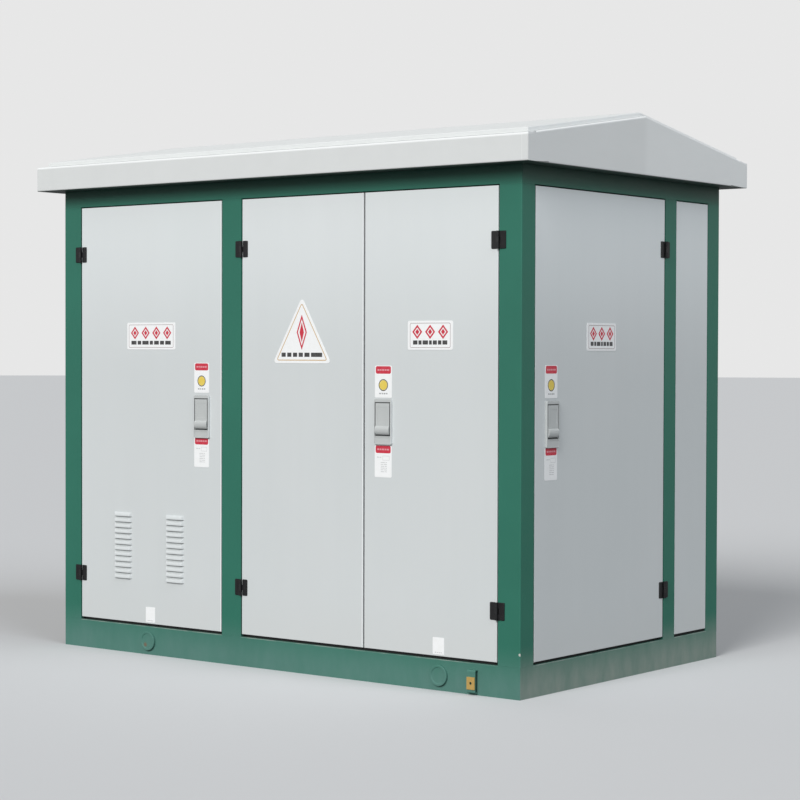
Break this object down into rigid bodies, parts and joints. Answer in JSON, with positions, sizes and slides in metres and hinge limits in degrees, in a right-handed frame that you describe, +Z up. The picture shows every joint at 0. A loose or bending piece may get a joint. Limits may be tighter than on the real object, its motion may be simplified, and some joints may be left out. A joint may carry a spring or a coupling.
{
  "type": "compact substation",
  "caption": "Free-standing steel substation housing on a channel base with louvred transformer door, double switchgear door, side door, lever locks and a low gabled roof.",
  "frame": {"origin": "under the middle of the housing, at ground level", "axes": "+X along the front to the right, +Y from the front to the back, +Z up"},
  "size_m": [2.926, 1.837, 2.5162],
  "materials": {
    "frame_green": "satin powder coat, dusty near the ground",
    "panel_white": "satin powder coat",
    "roof_white": "satin powder coat",
    "hinge_black": "black coated die casting",
    "lock_grey": "satin zinc die casting",
    "floor_steel": "grey primer",
    "brass": "dull brass"
  },
  "bodies": {
    "housing": {"base_rail_front": "frame_green", "base_rail_back": "frame_green", "base_rail_left": "frame_green", "base_rail_right": "frame_green", "floor_plate": "floor_steel", "corner_post_front_left": "frame_green", "corner_post_front_right": "frame_green", "corner_post_back_left": "frame_green", "corner_post_back_right": "frame_green", "middle_post_front": "frame_green", "middle_post_back": "frame_green", "middle_post_left": "frame_green", "middle_post_right": "frame_green", "top_rail_front": "frame_green", "top_rail_back": "frame_green", "top_rail_left": "frame_green", "top_rail_right": "frame_green", "panel_right_narrow": "panel_white", "panel_left_narrow": "panel_white", "panel_left_wide": "panel_white", "panel_back_switchgear": "panel_white", "panel_back_transformer": "panel_white", "hinge_transformer_lower": "hinge_black", "hinge_transformer_upper": "hinge_black", "hinge_switchgear_left_lower": "hinge_black", "hinge_switchgear_left_upper": "hinge_black", "hinge_switchgear_right_lower": "hinge_black", "hinge_switchgear_right_upper": "hinge_black", "hinge_side_lower": "hinge_black", "hinge_side_upper": "hinge_black", "earthing_plate": "brass", "roof_eave_front": "roof_white", "roof_eave_back": "roof_white", "roof_gable_left": "roof_white", "roof_gable_right": "roof_white", "roof_sheet": "roof_white"},
    "transformer_door": {"door_transformer": "panel_white", "lock_body_transformer": "lock_grey"},
    "switchgear_left_door": {"door_switchgear_left": "panel_white"},
    "switchgear_right_door": {"door_switchgear_right": "panel_white", "lock_body_switchgear_right": "lock_grey"},
    "side_door": {"door_side": "panel_white", "lock_body_side": "lock_grey"},
    "transformer_lever": {"lock_lever_transformer": "lock_grey"},
    "switchgear_right_lever": {"lock_lever_switchgear_right": "lock_grey"},
    "side_lever": {"lock_lever_side": "lock_grey"}
  },
  "joints": [
    {"name": "transformer_door_hinge", "type": "hinge", "parent": "housing", "child": "transformer_door", "pos_m": [-1.25125, -0.8325, 1.149], "axis": [0, 0, -1], "range_deg": [0, 120]},
    {"name": "switchgear_left_door_hinge", "type": "hinge", "parent": "housing", "child": "switchgear_left_door", "pos_m": [-0.19425, -0.8325, 1.149], "axis": [0, 0, -1], "range_deg": [0, 110]},
    {"name": "switchgear_right_door_hinge", "type": "hinge", "parent": "housing", "child": "switchgear_right_door", "pos_m": [1.25125, -0.8325, 1.149], "axis": [0, 0, 1], "range_deg": [0, 120]},
    {"name": "side_door_hinge", "type": "hinge", "parent": "housing", "child": "side_door", "pos_m": [1.377, 0.32575, 1.149], "axis": [0, 0, 1], "range_deg": [0, 120]},
    {"name": "transformer_lever_lift", "type": "hinge", "parent": "transformer_door", "child": "transformer_lever", "pos_m": [-0.44, -0.831, 1.2282], "axis": [-1, 0, 0], "range_deg": [0, 35]},
    {"name": "switchgear_right_lever_lift", "type": "hinge", "parent": "switchgear_right_door", "child": "switchgear_right_lever", "pos_m": [0.641, -0.831, 1.2282], "axis": [-1, 0, 0], "range_deg": [0, 35]},
    {"name": "side_lever_lift", "type": "hinge", "parent": "side_door", "child": "side_lever", "pos_m": [1.3755, -0.6, 1.2282], "axis": [0, -1, 0], "range_deg": [0, 35]}
  ]
}
